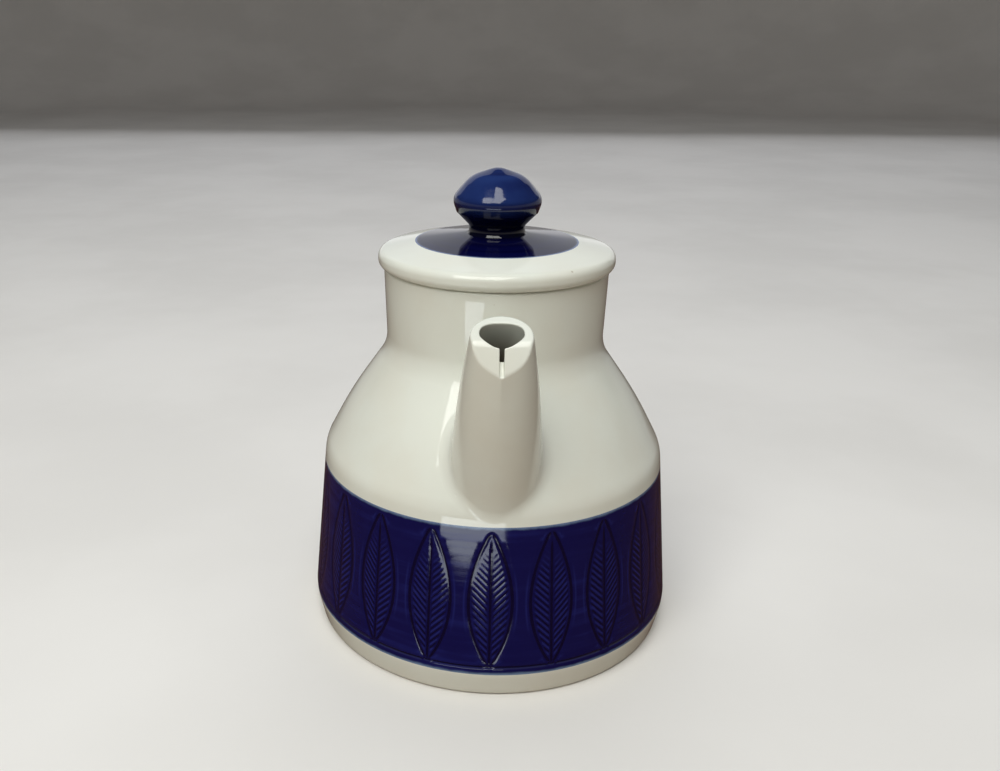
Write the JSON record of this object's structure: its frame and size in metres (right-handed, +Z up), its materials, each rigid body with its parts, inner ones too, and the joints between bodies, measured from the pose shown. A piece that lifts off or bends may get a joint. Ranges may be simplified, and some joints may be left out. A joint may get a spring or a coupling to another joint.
{
  "type": "glazed ceramic teapot with a loose lid",
  "caption": "Round tapered pot with a sloping shoulder and straight neck, a short slit-lipped spout, a loop handle, a blue leaf-relief band and a loose knobbed lid.",
  "frame": {"origin": "on the pot's axis, in the plane it stands on, which is the middle of the bottom of its bounding box", "axes": "+Z up along the pot's axis, spout towards -Y, handle towards +Y, +X across"},
  "size_m": [0.136, 0.1614, 0.1676],
  "materials": {
    "white_glaze": "glossy clear glaze over a cool white body",
    "blue_relief_glaze": "deep cobalt glaze over leaf relief, glossy",
    "blue_glaze": "deep cobalt glaze, glossy"
  },
  "bodies": {
    "pot": {"pot_body": "white_glaze", "blue_band": "blue_relief_glaze", "spout": "white_glaze", "handle": "white_glaze"},
    "lid": {"lid_plate": "white_glaze", "lid_flange": "white_glaze", "lid_disc": "blue_glaze", "lid_knob": "blue_glaze"}
  },
  "joints": [
    {"name": "lid_lift", "type": "slide", "parent": "pot", "child": "lid", "axis": [0, 0, 1], "range_m": [0, 0.045]}
  ]
}
